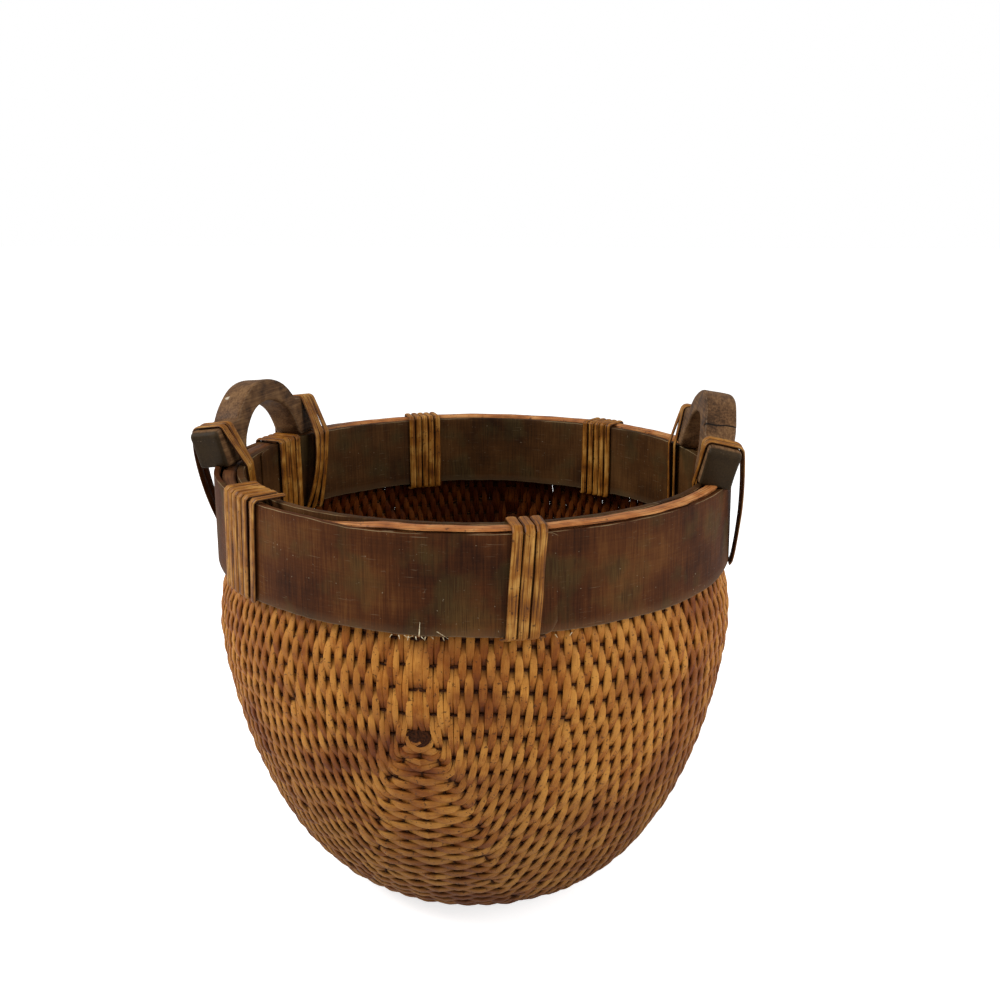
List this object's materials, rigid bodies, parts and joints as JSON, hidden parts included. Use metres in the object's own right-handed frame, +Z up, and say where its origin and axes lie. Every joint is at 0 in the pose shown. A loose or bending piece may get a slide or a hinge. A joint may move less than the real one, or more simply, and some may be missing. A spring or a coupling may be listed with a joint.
{
  "type": "rice basket",
  "caption": "Round woven willow rice basket with a deep belly, wooden rim bands and carved handles tied on with split cane.",
  "frame": {"origin": "middle of the flat base, on the floor", "axes": "+Z up, -Y to the front, the handles stand at the +X and -X sides"},
  "size_m": [0.4625, 0.4556, 0.4341],
  "materials": {
    "willow": "peeled willow rods, aged golden brown, satin",
    "band_wood": "bent board, dark stain worn at the edges, satin",
    "filler_cane": "split cane, orange brown, satin",
    "handle_wood": "carved hardwood, dark and hand worn",
    "cane": "split cane, honey brown, glossy skin"
  },
  "bodies": {
    "root": {"woven_body": "willow", "outer_rim_band": "band_wood", "inner_rim_band": "band_wood", "rim_filler_cane": "filler_cane", "handle_left": "handle_wood", "handle_right": "handle_wood", "rim_lashing_front": "cane", "rim_lashing_front_left": "cane", "rim_lashing_back_left": "cane", "rim_lashing_back_right": "cane", "rim_lashing_left": "cane", "handle_tie_left_back": "cane", "handle_tie_right_back": "cane", "handle_tie_left_front": "cane", "handle_tie_right_front": "cane"}
  },
  "joints": []
}
